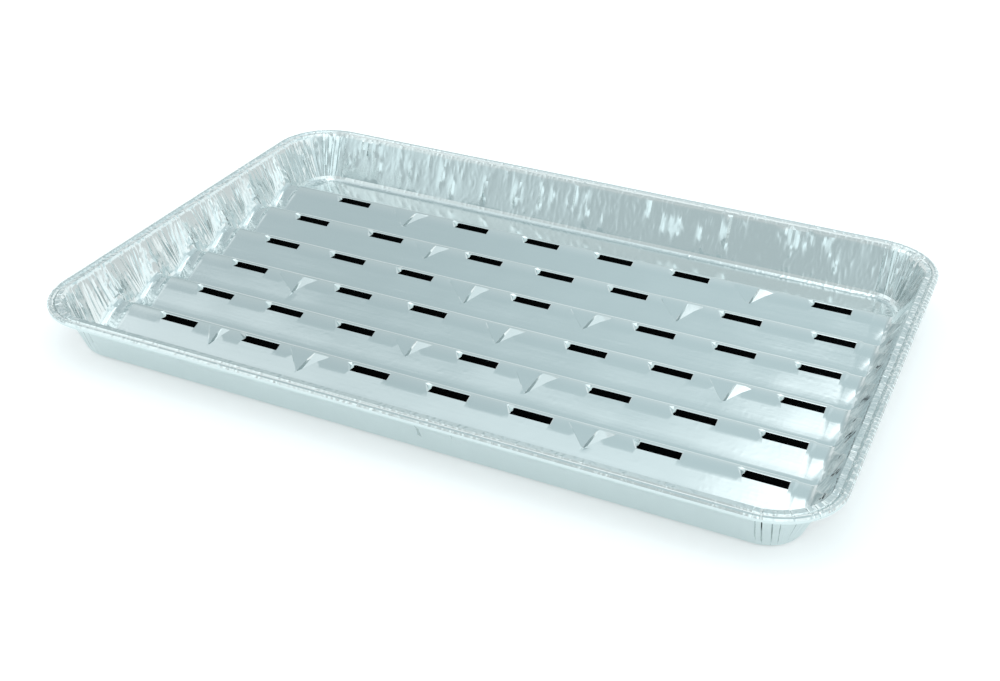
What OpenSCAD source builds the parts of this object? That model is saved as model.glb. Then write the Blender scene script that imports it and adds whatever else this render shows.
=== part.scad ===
// Shallow foil roasting pan, pressed from one sheet: curled rim, gathered walls, ribbed and slotted floor.
// The origin is the middle of the underside, the length runs along X, Z is up and all sizes are in mm.
// The sheet is drawn as an inner skin of rows and rings that are laced together with triangles,
// and a second skin one sheet thickness away, joined round the slots and along the edge of the curl.

/* [Pan] */
// outside length over the rim
pan_l = 345; // [330:1:370]
// outside width over the rim
pan_w = 232; // [228:1:250]
// height from the table to the top of the rim
pan_h = 24; // [20:0.5:30]
// thickness of the sheet
sheet = 0.25; // [0.2:0.05:0.35]
// outer radius of the corners of the rim
corner_r = 29; // [27:0.5:33]
// how far the walls lean outwards between foot and top
wall_lean = 7; // [5:0.5:8]
// rise of the rounded foot of the walls
foot_rise = 2.2; // [1.5:0.1:3]
// width of the rounded foot of the walls, seen from above
foot_run = 2.6; // [2:0.1:3]

/* [Rim] */
// outside diameter of the curled edge
curl_d = 3; // [2.6:0.1:3.4]
// flat band between the walls and the curl
flange_w = 4.2; // [3.6:0.1:5]
// rounding between the walls and the flat band
shoulder = 1; // [0.7:0.1:1.4]
// height of the small gathers of the rim at its corners
crimp = 0.3; // [0.1:0.05:0.4]

/* [Ridges] */
// height of the ridges over the level bands
ridge_h = 8.6; // [6:0.2:10]
// level floor between the far wall's foot and the first ridge
far_band = 24.8; // [20:0.2:30]
// level floor between the last ridge and the near wall's foot
near_band = 9.6; // [5:0.2:14]
// steep far side of a ridge, seen from above
back_w = 4.6; // [4:0.2:6]
// level bottom of the valleys
valley_w = 1.8; // [1:0.2:3]
// rounded toe of the lower slope
toe_w = 5; // [3:0.2:6]
// height of the valleys over the level bands
valley_rise = 1.2; // [0.4:0.2:2]
// fall of the slotted strip on top of a ridge
strip_fall = 1.1; // [0.6:0.1:1.6]
// length over which the floor changes before the end walls
end_run = 7; // [5:0.5:9]
// radius of the lower corners of the broad slopes at the end walls
end_corner = 7; // [4:0.5:9]
// rise of the floor at the wide foot of the end walls
end_foot = 0.5; // [0.2:0.1:0.8]

/* [Slots] */
// length of a slot
slot_l = 18; // [14:0.5:20]
// width of a slot, which is all of the strip that it is cut in
slot_w = 4; // [3:0.2:4.4]
// distance between neighbours where they stand close
slot_step = 38; // [36:0.5:40]
// floor left between the last slots and the floor's ends, where the pattern is in the middle
slot_margin = 15.6; // [12:0.2:20]
// distance of the pattern from the middle of the pan
slot_shift = 8; // [0:0.5:9]

/* [Gathers and dents] */
// distance between the pleats of the end walls, at their top
pleat_step = 3.6; // [3.4:0.1:6]
// depth of the pleats of the end walls and corners
pleat_d = 0.9; // [0.4:0.1:1.2]
// depth of the sparse wrinkles of the long walls
wrinkle_d = 0.35; // [0.1:0.05:0.6]
// how strongly the pleats of the end walls run together at their foot
fan = 0.8; // [0:0.05:0.9]
// depth of the buckled dents between the slots
dent_d = 1.0; // [0.6:0.1:1.8]
// width of a dent along its ridge
dent_w = 17; // [12:1:19]
// how far a dent reaches down the slope of its ridge
dent_reach = 0.74; // [0.5:0.02:0.86]
// width of the corner that is bent down at the left end of each slot
bent_w = 2.4; // [1.6:0.2:3.2]
// depth of that corner
bent_d = 0.7; // [0.3:0.1:0.9]

/* [Hidden] */

ridges = 6;
curl_r = curl_d/2;
// steps of a ring, from the edge of the pan inwards
in_flange = curl_r + flange_w;
in_top = in_flange + shoulder;
in_wall = in_top + wall_lean;
in_floor = in_wall + foot_run;
rim_z = pan_h - sheet;
top_z = rim_z - 0.18*curl_r;
wall_z = top_z - 1.5*shoulder;
lean = atan2(wall_lean, wall_z - foot_rise);
floor_x = pan_l/2 - in_floor;
floor_y = pan_w/2 - in_floor;
floor_r = corner_r - in_floor;
straight_y = pan_w/2 - corner_r;
straight_x = pan_l/2 - corner_r;

// the ridges share out the floor between the two level bands
first_y = floor_y - far_band;
last_y = near_band - floor_y;
ridge_pitch = (first_y - last_y + valley_w)/ridges;
crest = [for (k = [0:ridges - 1]) first_y - back_w - k*ridge_pitch];

// the section of one ridge: distance from its crest towards the near side, and height
strip_at = 0.35*slot_w;
slope_at = strip_at + slot_w;
toe_at = ridge_pitch - back_w - valley_w - toe_w;
tip_at = slope_at + dent_reach*(toe_at - slope_at);
// height where the broad slope starts to round into the valley
toe_share = 0.5*toe_w/(toe_at - slope_at);
toe_z = (valley_rise + toe_share*(ridge_h - strip_fall))/(1 + toe_share);
section = [
  [-back_w, valley_rise],
  [-0.93*back_w, valley_rise + 0.12*(ridge_h - valley_rise)],
  [-0.35*back_w, 0.8*ridge_h],
  [-0.15*back_w, 0.95*ridge_h],
  [0, ridge_h],
  [strip_at, ridge_h - 0.1*strip_fall],
  [slope_at, ridge_h - strip_fall],
  [toe_at, toe_z],
  [toe_at + toe_w/2, 0.75*valley_rise + 0.25*toe_z],
  [toe_at + toe_w, valley_rise],
  [ridge_pitch - back_w, valley_rise]];

// height of the floor's upper skin over its level bands, at a distance y from the middle
function banded(y) = y > first_y - 0.01 || y < last_y + 0.01;
function from_crest(y) = (first_y - y) % ridge_pitch - back_w;
function floor_z(y) = banded(y) ? 0 : lookup(from_crest(y), section);
// the same at the end walls, where the broad slopes turn up towards their crests in a round corner
function end_z(y) = banded(y) ? 0
  : let (v = from_crest(y), toe = toe_at + toe_w, s = max(0, v - slope_at)/(toe - slope_at))
    0.93*lookup(v < toe ? min(v + end_corner*s*s, toe) : v, section);
// rise of the floor there, none where its outline turns into the long sides
function end_rise(y) = end_foot*max(0, 1 - max(0, abs(y) - straight_y)/floor_r);
// half the floor's length at y, inside its rounded corners
function half_x(y) = let (v = abs(y) - straight_y)
  v <= 0 ? floor_x : floor_x - floor_r + sqrt(max(0, floor_r*floor_r - v*v));

// slots of a row, from its middle outwards, and the rows from far to near
slot_reach = floor_x - slot_margin - slot_l/2;
row_a = [slot_step/2, 1.5*slot_step, slot_reach - 0.21*slot_step];
row_b = [0, 0.96*slot_step, slot_reach - 1.1*slot_step, slot_reach];
row_c = [0, slot_reach - 1.91*slot_step, slot_reach - 0.96*slot_step, slot_reach];
row_d = [slot_step, 2*slot_step, slot_reach];
rows = [row_a, row_b, row_c, row_d, row_c, row_b];
function slots(k) = let (n = len(rows[k])) concat(
  [for (i = [n - 1:-1:0]) if (rows[k][i] > 0) slot_shift - rows[k][i]],
  [for (i = [0:n - 1]) slot_shift + rows[k][i]]);

// A row of the floor is [y, z, points], each point [x, extra height, place for lacing, share of the end].
// On the strip with the slots the points come in runs, one for each stretch of sheet between slots.
function ends(y, side, reach = 0) = let (h = half_x(y), r = min(end_run, 0.3*h, 0.9*(h - reach)),
    p = [for (e = [[0, 1], [0.35, 0.25], [1, 0]]) [side*(h - e[0]*r), 0, side*(h - e[0]*r), e[1]]])
  side < 0 ? p : [p[2], p[1], p[0]];
// The wide gaps have a dent, and so has the first gap of the nearest ridge, which is buckled most.
// A dent sinks slowly from its left corner and rises sharply beside its right one.
dent_at = 0.84;
function worn(k, i) = k == ridges - 1 && i == 1;
function dented(k, i) = let (s = slots(k))
  i > 0 && i < len(s) && (worn(k, i) || s[i] - s[i - 1] > 1.2*slot_step);
function dent_x(k, i) = let (s = slots(k)) (s[i] + s[i - 1])/2 + 0.09*dent_w*sin(97*k + 61*i);
function dent_tip(k, i) = dent_x(k, i) + dent_w*(0.34 + 0.07*sin(143*k + 31*i));
// the bent corner of a slot, kept clear of the dent in the narrowest gap that has one
bent = min(bent_w, 0.4*(1.1*slot_step - slot_l - dent_w));
function run(k, i, y, edge) = let (s = slots(k), n = len(s)) concat(
  i == 0 ? ends(y, -1, slot_l/2 + bent - s[0]) : [[s[i - 1] + slot_l/2, 0, s[i - 1] + slot_l/2, 0]],
  !dented(k, i) ? [] : let (x = dent_x(k, i), w = dent_w/2)
    [for (e = edge == 0 ? [-1, 1] : [-1, dent_at, 1])
      [x + e*w, e == dent_at ? -dent_d*(worn(k, i) ? 1.4 : 1) : 0, x + e*w, 0]],
  i == n ? ends(y, 1, s[n - 1] + slot_l/2) : let (x = s[i] - slot_l/2)
    edge == 0 ? [[x, 0, x, 0]] : [[x - bent, 0, x - bent, 0], [x, -bent_d, x, 0]]);
function runs(k, y, edge) = [for (i = [0:len(slots(k))]) run(k, i, y, edge)];
function flat(l) = [for (a = l) for (b = a) b];

function plain(y) = [y, floor_z(y), concat(ends(y, -1), ends(y, 1)), []];
function slotted(k, edge) =
  let (y = crest[k] - (edge == 0 ? strip_at : slope_at), r = runs(k, y, edge))
  [y, floor_z(y), flat(r), [for (a = r) len(a)]];
function tips(k) =
  let (y = crest[k] - tip_at, s = slots(k))
  [y, floor_z(y), concat(ends(y, -1),
    [for (i = [1:len(s) - 1]) if (dented(k, i)) [dent_tip(k, i), 0, dent_x(k, i) - dent_w/2 + 0.01, 0]],
    ends(y, 1)), []];

far_rows = [for (f = [0, 0.03, 0.12, 0.28, 0.55]) floor_y - f*(floor_y - first_y)];
near_rows = [for (f = [0.55, 0.25, 0.06, 0]) -floor_y + f*(floor_y + last_y)];
lines = concat(
  [for (y = far_rows) plain(y)],
  [for (k = [0:ridges - 1]) each concat(
    [for (i = [0:4]) plain(crest[k] - section[i][0])],
    [slotted(k, 0), slotted(k, 1), tips(k)],
    [for (i = [7:9]) plain(crest[k] - section[i][0])])],
  [for (y = near_rows) plain(y)]);

// number of the first point of each line
function sums(v, i = 0, s = 0) = i == len(v) ? [s] : concat([s], sums(v, i + 1, s + v[i]));
start = sums([for (l = lines) len(l[2])]);
floor_points = [for (l = lines) for (p = l[2])
  [p[0], l[0], l[1] + p[1] + p[3]*(end_z(l[0]) - l[1] + end_rise(l[0]))]];

// A point of a ring: a whole part of u picks the side or corner, from the near right corner
// at -1 by the right end at 0 and on anticlockwise. Gives the place and the outward direction.
function turned(p, a) = [p[0]*cos(a) - p[1]*sin(a), p[0]*sin(a) + p[1]*cos(a)];
function ring_point(in, u) =
  let (s = floor(u), t = u - s, q = floor(s/2), even = (q + 4) % 2 == 0,
    a = (even ? pan_l : pan_w)/2 - in, b = (even ? pan_w : pan_l)/2 - in, r = corner_r - in,
    corner = (s + 8) % 2 == 1,
    p = corner ? [a - r + r*cos(90*t), b - r + r*sin(90*t)] : [a, (b - r)*(2*t - 1)],
    n = corner ? [cos(90*t), sin(90*t)] : [1, 0])
  [turned(p, 90*q), turned(n, 90*q)];
// the place u of a point on the floor's outline
function place(x, y) =
  let (u = abs(y) - straight_y, v = abs(x) - (floor_x - floor_r))
  u <= 0 ? (x > 0 ? (y/straight_y + 1)/2 : 4 + (1 - y/straight_y)/2)
  : v <= 0 ? (y > 0 ? 2 + (1 - x/straight_x)/2 : 6 + (x/straight_x + 1)/2)
  : let (a = atan2(u, v)/90)
    x > 0 ? (y > 0 ? 1 + a : -a) : (y > 0 ? 4 - a : 5 + a);

// the floor's outline as point numbers and places
last = len(lines) - 1;
outline = concat(
  [for (i = [last - 1:-1:1]) start[i + 1] - 1],
  [for (j = [start[1] - 1:-1:0]) j],
  [for (i = [1:last - 1]) start[i]],
  [for (j = [start[last]:start[last + 1] - 1]) j]);
outline_u = [for (j = outline) place(floor_points[j][0], floor_points[j][1])];

// columns of the walls: a pleat is two columns, one pushed in and one out
end_n = 2*round(2*straight_y/pleat_step);
corner_n = 2*round(PI/2*(corner_r - in_top)/(0.8*pleat_step));
long_n = 2*round(straight_x/(1.3*pleat_step));
counts = [corner_n, end_n, corner_n, long_n, corner_n, end_n, corner_n, long_n];
wall_u = [for (s = [0:7]) for (i = [0:counts[s] - 1]) s - 1 + i/counts[s]];
wall_n = len(wall_u);
wobble = rands(0, 1, wall_n, 7);

// at the foot of an end wall the pleats run together beside the middle of each broad slope
function gathered(y) = let (c = [for (k = crest) k - (strip_at + toe_at + toe_w)/2],
    near = [for (v = c) if (abs(y - v) <= ridge_pitch/2 && abs(v) + ridge_pitch/2 <= straight_y) v])
  len(near) == 0 ? y : y - fan*ridge_pitch/360*57.3*sin(360*(y - near[0])/ridge_pitch);
function foot_u(u) = let (s = floor(u), t = u - s)
  s == 0 || s == 4 ? let (y = (s == 0 ? 1 : -1)*straight_y*(2*t - 1), g = gathered(y))
    s + ((s == 0 ? g : -g)/straight_y + 1)/2
  : (s + 8) % 2 == 1 ? u - 0.1*fan*sin(360*(t - 0.5)) : u;

// depth of the pleat at a column, deep on end walls and corners, irregular on the long walls
function pleat(i) = let (s = floor(wall_u[i]), w = wobble[i])
  (i % 2 == 0 ? 1 : -1)*(s == 2 || s == 6 ? wrinkle_d*(w > 0.6 ? 1 : 0.35*w) : pleat_d*(0.55 + 0.45*w));

foot_ring = [for (u = wall_u) let (f = foot_u(u), p = ring_point(in_wall, f))
  [p[0][0], p[0][1], foot_rise + end_z(p[0][1]) + end_rise(p[0][1])]];
top_ring = [for (i = [0:wall_n - 1]) let (p = ring_point(in_top, wall_u[i]))
  [each (p[0] + 0.35*pleat(i)*p[1]), wall_z]];
mid_ring = [for (i = [0:wall_n - 1]) let (p = ring_point(in_top, wall_u[i]),
    a = foot_ring[i], b = top_ring[i], m = 0.45*a + 0.55*b)
  [m[0] + pleat(i)*p[1][0], m[1] + pleat(i)*p[1][1], m[2]]];

// columns of the rim, with small gathers at its corners
rim_counts = [16, 12, 16, 18, 16, 12, 16, 18];
rim_u = [for (s = [0:7]) for (i = [0:rim_counts[s] - 1]) s - 1 + i/rim_counts[s]];
rim_n = len(rim_u);
function gather(i) = let (s = floor(rim_u[i]), t = rim_u[i] - s)
  (s + 8) % 2 == 1 && i % 2 == 1 ? -crimp : 0;
curl = [125, 90, 45, 0, -50, -105];
function rim_ring(in, z, g) = [for (i = [0:rim_n - 1]) let (p = ring_point(in, rim_u[i]))
  [p[0][0], p[0][1], z + g*gather(i)]];
flange_ring = rim_ring(in_flange, top_z, 1);
function curl_ring(a, r) = rim_ring(curl_r - r*cos(a), rim_z - curl_r + r*sin(a), max(0, sin(a)));

// the upper skin, and the lower one a sheet thickness below, outside or inside the curl
function moved(ring, u, out, down) = [for (i = [0:len(ring) - 1]) let (n = ring_point(0, u[i])[1])
  ring[i] + sheet*[out*n[0], out*n[1], -down]];
skin = concat(floor_points, foot_ring, mid_ring, top_ring, flange_ring,
  [for (a = curl) each curl_ring(a, curl_r)]);
back = concat([for (p = floor_points) p - [0, 0, sheet]],
  moved(foot_ring, wall_u, 0.7, 0.7), moved(mid_ring, wall_u, cos(lean), sin(lean)),
  moved(top_ring, wall_u, cos(lean), sin(lean)), moved(flange_ring, rim_u, 0.45, 1),
  [for (a = curl) each curl_ring(a, curl_r - sheet)]);
size = len(skin);

// triangles between two rows of points a and b, with their places, seen from above from left to right
function before(v, x) = len([for (p = v) if (p < x) 1]);
function upto(v, x) = len([for (p = v) if (p <= x) 1]);
function lace(a, b, pa, pb) = concat(
  [for (i = [0:1:len(a) - 2]) [a[i], a[i + 1], b[max(0, before(pb, pa[i + 1]) - 1)]]],
  [for (j = [0:1:len(b) - 2]) [a[max(0, upto(pa, pb[j + 1]) - 1)], b[j + 1], b[j]]]);
function span(from, n) = [for (i = [0:n - 1]) from + i];
function places(l, from, n) = [for (i = [from:from + n - 1]) lines[l][2][i][2]];
function closed(v) = concat(v, [v[0]]);
function closed_u(v) = concat(v, [v[0] + 8]);

floor_faces = [for (l = [0:last - 1]) each
  len(lines[l][3]) > 0 && len(lines[l + 1][3]) > 0
  ? let (na = lines[l][3], nb = lines[l + 1][3], sa = sums(na), sb = sums(nb))
    [for (i = [0:len(na) - 1]) each lace(span(start[l] + sa[i], na[i]), span(start[l + 1] + sb[i], nb[i]),
      places(l, sa[i], na[i]), places(l + 1, sb[i], nb[i]))]
  : let (na = len(lines[l][2]), nb = len(lines[l + 1][2]))
    lace(span(start[l], na), span(start[l + 1], nb), places(l, 0, na), places(l + 1, 0, nb))];

wall_from = len(floor_points);
rim_from = wall_from + 3*wall_n;
rings = len(curl) + 1;
foot_places = [for (u = wall_u) foot_u(u)];
ring_faces = concat(
  lace(closed(outline), closed(span(wall_from, wall_n)), closed_u(outline_u), closed_u(foot_places)),
  [for (r = [0:1]) each lace(closed(span(wall_from + r*wall_n, wall_n)),
    closed(span(wall_from + (r + 1)*wall_n, wall_n)), closed_u(wall_u), closed_u(wall_u))],
  lace(closed(span(wall_from + 2*wall_n, wall_n)), closed(span(rim_from, rim_n)),
    closed_u(wall_u), closed_u(rim_u)),
  [for (r = [0:rings - 2]) each lace(closed(span(rim_from + r*rim_n, rim_n)),
    closed(span(rim_from + (r + 1)*rim_n, rim_n)), closed_u(rim_u), closed_u(rim_u))]);

// loops of open edges: one for each slot, and the free edge of the curl
slot_loops = [for (l = [0:last - 1]) if (len(lines[l][3]) > 0 && len(lines[l + 1][3]) > 0)
  each let (sa = sums(lines[l][3]), sb = sums(lines[l + 1][3]))
  [for (i = [1:len(sa) - 2]) [start[l] + sa[i] - 1, start[l] + sa[i],
    start[l + 1] + sb[i], start[l + 1] + sb[i] - 1]]];
edge_loop = [for (i = [0:rim_n - 1]) rim_from + (rings - 1)*rim_n + i];
function rim_of(loop) = [for (i = [0:len(loop) - 1]) let (p = loop[i], q = loop[(i + 1) % len(loop)])
  each [[p, q, q + size], [p, q + size, p + size]]];

module foil_pan() color([0.78, 0.8, 0.8])
  translate([0, 0, sheet])
    let (top = concat(floor_faces, ring_faces))
      polyhedron(points = concat(skin, back), faces = concat(top,
        [for (f = top) [for (i = [2:-1:0]) f[i] + size]],
        [for (l = slot_loops) each rim_of(l)], rim_of(edge_loop)), convexity = 10);

foil_pan();
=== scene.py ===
"""Foil roasting pan: one pressed and punched sheet of aluminium foil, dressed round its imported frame.

The blank is laid out flat as a grid, the slots and the fold lines of the dents are cut into it, and it
is then pressed to shape. The walls and the curled rim are drawn out of loops of the same sheet.
All sizes of the forms are in millimetres and are the frame's own; the finished mesh is in metres.
"""

import logging
import math
import random
from collections.abc import Sequence
from dataclasses import dataclass, field, replace
from enum import Enum
from functools import cached_property

import bmesh
import bpy
from bmesh.types import BMEdge, BMesh, BMFace, BMVert
from mathutils import Matrix, Vector, noise

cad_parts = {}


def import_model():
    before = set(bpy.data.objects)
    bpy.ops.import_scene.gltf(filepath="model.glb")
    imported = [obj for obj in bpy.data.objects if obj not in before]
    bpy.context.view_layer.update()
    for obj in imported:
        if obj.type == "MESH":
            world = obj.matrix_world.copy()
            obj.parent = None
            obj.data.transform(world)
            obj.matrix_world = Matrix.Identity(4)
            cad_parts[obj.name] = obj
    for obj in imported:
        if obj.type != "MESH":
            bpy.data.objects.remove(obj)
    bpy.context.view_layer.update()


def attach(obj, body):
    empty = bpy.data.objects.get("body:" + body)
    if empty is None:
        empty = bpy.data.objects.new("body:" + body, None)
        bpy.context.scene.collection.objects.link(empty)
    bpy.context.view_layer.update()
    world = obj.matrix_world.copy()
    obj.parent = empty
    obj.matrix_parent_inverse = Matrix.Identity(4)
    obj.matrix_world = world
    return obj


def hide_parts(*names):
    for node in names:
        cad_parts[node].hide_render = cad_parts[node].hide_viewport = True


log = logging.getLogger("foil_roasting_pan")

Socket = bpy.types.NodeSocket | float
Colour = bpy.types.NodeSocket | tuple[float, ...]

MM = 0.001  # a millimetre in metres
PER_METRE = 1000
TOUCH = 0.001  # points nearer than this, in mm, are one
FAR_AWAY = 100.0  # from any end of the floor, in mm
OUTLINE_END = 6.999999  # last place on the outline, see Side
LOWEST_BOX = 0.05  # the soft boxes' ceiling isn't followed below this height
TOE_STEPS = (0.0, 0.25, 0.5, 0.75, 1.0)


def linear(hex_colour: str) -> tuple[float, float, float, float]:
    """Turns an sRGB hex colour, "#RRGGBB", to linear red, green and blue and an alpha of 1."""
    parts = [int(hex_colour[i : i + 2], 16) / 255 for i in (1, 3, 5)]
    return (*(p / 12.92 if p <= 0.04045 else ((p + 0.055) / 1.055) ** 2.4 for p in parts), 1.0)


def ramp(value: float, low: float, high: float) -> float:
    """Gives a smooth step from 0 at low to 1 at high, where high may also lie below low."""
    share = min(1.0, max(0.0, (value - low) / (high - low)))
    return share * share * (3 - 2 * share)


def between(points: Sequence[tuple[float, float]], value: float) -> float:
    """Reads a line through points, straight between neighbours.

    Args:
        points: Pairs of place and height, places rising.
        value: The place to read.

    Returns:
        The height there, or that of the nearest end outside the points.
    """
    if value <= points[0][0]:
        return points[0][1]
    for (a, low), (b, high) in zip(points, points[1:]):
        if value <= b:
            return low + (high - low) * (value - a) / (b - a)
    return points[-1][1]


@dataclass(frozen=True)
class Wave:
    """Soft unevenness of the sheet: height and length of a wave in mm, how many times shorter it is
    across the pan, and which pattern of noise it follows."""

    height: float
    length: float
    across: float = 1.0
    pattern: float = 0.0


def ripple(x: float, y: float, *waves: Wave) -> float:
    """Gives the height in mm, above or below 0, that the waves add up to at a place in mm."""
    spots = (Vector((x / w.length, w.across * y / w.length, w.pattern)) for w in waves)
    return sum(w.height * noise.noise(spot) for w, spot in zip(waves, spots))


def plan(x: float, y: float) -> Vector:
    """Gives a point or direction in plan, at height 0."""
    return Vector((x, y, 0))


def faces_in(bm: BMesh, low: Vector, high: Vector) -> list[BMFace]:
    """Finds the faces whose middles lie between two corners of a box, seen from above."""
    spots = ((f, f.calc_center_median()) for f in bm.faces)
    return [f for f, spot in spots if low.x < spot.x < high.x and low.y < spot.y < high.y]


class Side(Enum):
    """The eight stretches of the pan's outline, from the near right corner anticlockwise."""

    NEAR_RIGHT = -1
    RIGHT = 0
    FAR_RIGHT = 1
    FAR = 2
    FAR_LEFT = 3
    LEFT = 4
    NEAR_LEFT = 5
    NEAR = 6

    @property
    def corner(self) -> bool:
        """Tells a rounded corner from a straight side."""
        return self.value % 2 == 1

    @property
    def end(self) -> bool:
        """Tells whether this is one of the two short end walls."""
        return self in (Side.RIGHT, Side.LEFT)


@dataclass(frozen=True)
class PanForm:
    """Sizes of the pressed pan in mm. Heights are of the upper skin over the valleys' upper skin."""

    length: float = 345.0
    width: float = 232.0
    height: float = 24.0
    sheet: float = 0.25
    corner: float = 29.0
    lean: float = 7.0
    foot_rise: float = 2.2
    foot_run: float = 2.6
    curl: float = 1.5
    flange: float = 4.2
    shoulder: float = 1.0
    ridges: int = 6
    ridge_h: float = 8.6
    far_band: float = 24.8
    near_band: float = 9.6
    back_w: float = 4.6
    valley_w: float = 1.8
    toe_w: float = 5.0
    valley_rise: float = 1.2
    strip_fall: float = 1.1
    end_fillet: float = 3.6
    side_fillet: float = 3.6
    end_corner: float = 7.0
    end_sink: float = 0.06
    sink_rooms: tuple[float, float] = (6.2, 4.6)
    slot_l: float = 18.0
    slot_w: float = 4.0
    slot_step: float = 38.0
    slot_margin: float = 15.6
    bare_edge: float = 3.0
    slot_shift: float = 8.0
    fan: float = 0.8

    @property
    def in_top(self) -> float:
        """Distance of the wall's top from the edge of the pan."""
        return self.curl + self.flange + self.shoulder

    @property
    def in_wall(self) -> float:
        """Distance of the wall's foot from the edge of the pan."""
        return self.in_top + self.lean

    @property
    def in_floor(self) -> float:
        """Distance of the floor's outline from the edge of the pan."""
        return self.in_wall + self.foot_run

    @property
    def rim_z(self) -> float:
        """Height of the top of the curl."""
        return self.height - self.sheet

    @property
    def top_z(self) -> float:
        """Height of the flat flange."""
        return self.rim_z - 0.18 * self.curl

    @property
    def wall_z(self) -> float:
        """Height where the wall turns into the shoulder."""
        return self.top_z - 1.5 * self.shoulder

    @property
    def floor_x(self) -> float:
        """Half the floor's length."""
        return self.length / 2 - self.in_floor

    @property
    def floor_y(self) -> float:
        """Half the floor's width."""
        return self.width / 2 - self.in_floor

    @property
    def floor_r(self) -> float:
        """Radius of the floor's corners."""
        return self.corner - self.in_floor

    @property
    def straight_x(self) -> float:
        """Half the straight length of the long sides."""
        return self.length / 2 - self.corner

    @property
    def straight_y(self) -> float:
        """Half the straight length of the ends."""
        return self.width / 2 - self.corner

    @property
    def first_y(self) -> float:
        """Far foot of the first ridge."""
        return self.floor_y - self.far_band

    @property
    def last_y(self) -> float:
        """Near foot of the last ridge."""
        return self.near_band - self.floor_y

    @property
    def pitch(self) -> float:
        """Distance between ridges."""
        return (self.first_y - self.last_y + self.valley_w) / self.ridges

    @property
    def crests(self) -> list[float]:
        """Where the crests lie, from far to near."""
        return [self.first_y - self.back_w - k * self.pitch for k in range(self.ridges)]

    @property
    def strip_at(self) -> float:
        """Far edge of the slotted strip, from the crest."""
        return 0.35 * self.slot_w

    @property
    def slope_at(self) -> float:
        """Near edge of the slotted strip, from the crest."""
        return self.strip_at + self.slot_w

    @property
    def crest_z(self) -> float:
        """Height of the slotted strip's far edge."""
        return self.ridge_h - 0.1 * self.strip_fall

    @property
    def toe_at(self) -> float:
        """Where the broad slope rounds into the valley, from the crest."""
        return self.pitch - self.back_w - self.valley_w - self.toe_w

    @property
    def toe_z(self) -> float:
        """Height where the broad slope starts to round into the valley."""
        share = 0.5 * self.toe_w / (self.toe_at - self.slope_at)
        return (self.valley_rise + share * (self.ridge_h - self.strip_fall)) / (1 + share)

    @cached_property
    def section(self) -> list[tuple[float, float]]:
        """Section of one ridge: distance from its crest towards the near side, and height."""
        h, low = self.ridge_h, self.valley_rise
        toe = [(self.toe_at + t * self.toe_w, low + (self.toe_z - low) * (1 - t) ** 2) for t in TOE_STEPS]
        return [
            (-self.back_w, low),
            (-0.93 * self.back_w, low + 0.12 * (h - low)),
            (-0.36 * self.back_w, 0.79 * h),
            (-0.28 * self.back_w, 0.875 * h),
            (-0.22 * self.back_w, 0.925 * h),
            (-0.17 * self.back_w, 0.955 * h),
            (-0.07 * self.back_w, 0.990 * h),
            (0.1, 0.999 * h),
            (0.6, h),
            (self.strip_at, self.crest_z),
            (self.slope_at, h - self.strip_fall),
            *toe,
            (self.pitch - self.back_w, low),
        ]

    def ridge_at(self, y: float) -> tuple[int, float]:
        """Finds the ridge that y lies on and the distance from its crest towards the near side."""
        k = min(self.ridges - 1, max(0, int((self.first_y - y) // self.pitch)))
        return k, self.crests[k] - y

    def floor_z(self, y: float, room: float = FAR_AWAY) -> float:
        """Gives the height of the ridges.

        Args:
            y: Distance from the middle of the pan.
            room: Distance from the end of the floor. Near it the foot of each broad slope turns up
                towards its crest in a round corner.

        Returns:
            Height over the valleys.
        """
        if y > self.first_y - 10 * TOUCH or y < self.last_y + 10 * TOUCH:
            return 0.0
        off = self.ridge_at(y)[1]
        near = max(0.0, min(self.end_corner, self.end_corner - room))
        if near and off > self.slope_at:
            bulge = self.end_corner - math.sqrt(self.end_corner**2 - near * near)
            share = min(1.0, (off - self.slope_at) / (self.toe_at + self.toe_w - self.slope_at))
            off = min(off + bulge * share * share, max(off, self.toe_at + self.toe_w))
        return between(self.section, off) * (1 - self.end_sink * ramp(room, *self.sink_rooms))

    def foot_z(self, inset: float, side_share: float) -> float:
        """Gives the height of the rounded foot of the walls over the floor beside it.

        Args:
            inset: Distance inwards from the edge of the pan.
            side_share: 0 at the end walls, which have a wide round foot, and 1 at the long walls.

        Returns:
            The rise.
        """
        radius = self.end_fillet + (self.side_fillet - self.end_fillet) * side_share
        per_z = self.lean / (self.wall_z - self.foot_rise)
        turn = math.atan(1 / per_z)
        start = self.in_wall + per_z * self.foot_rise + radius * math.tan(turn / 2)
        past = min(max(0.0, start - inset), radius * math.sin(turn))
        return radius - math.sqrt(radius * radius - past * past)

    def crest_gap(self, y: float) -> float:
        """Gives how far a place across the pan is from the nearest crest."""
        return min(abs(y - crest + 0.5) for crest in self.crests)

    def half_x(self, y: float) -> float:
        """Gives half the floor's length inside its rounded corners.

        Args:
            y: Distance from the middle of the pan.

        Returns:
            Half the length at y.
        """
        past = abs(y) - self.straight_y
        if past <= 0:
            return self.floor_x
        return self.floor_x - self.floor_r + math.sqrt(max(0.0, self.floor_r**2 - past * past))

    def outline(self, inset: float, u: float) -> tuple[Vector, Vector]:
        """Gives a point of the pan's outline.

        Args:
            inset: Distance inwards from the edge of the pan.
            u: Place on the outline; its whole part is a Side's number.

        Returns:
            The point and the outward direction, both in plan.
        """
        s = math.floor(u)
        t, quarter = u - s, math.floor(s / 2)
        odd_turn = (quarter + 4) % 2 == 1
        a = (self.width if odd_turn else self.length) / 2 - inset
        b = (self.length if odd_turn else self.width) / 2 - inset
        r = self.corner - inset
        if (s + 8) % 2 == 1:
            turn = math.radians(90 * t)
            point = plan(a - r + r * math.cos(turn), b - r + r * math.sin(turn))
            out = plan(math.cos(turn), math.sin(turn))
        else:
            point, out = plan(a, (b - r) * (2 * t - 1)), plan(1, 0)
        turned = Matrix.Rotation(math.radians(90 * quarter), 3, "Z")
        return turned @ point, turned @ out

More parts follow.
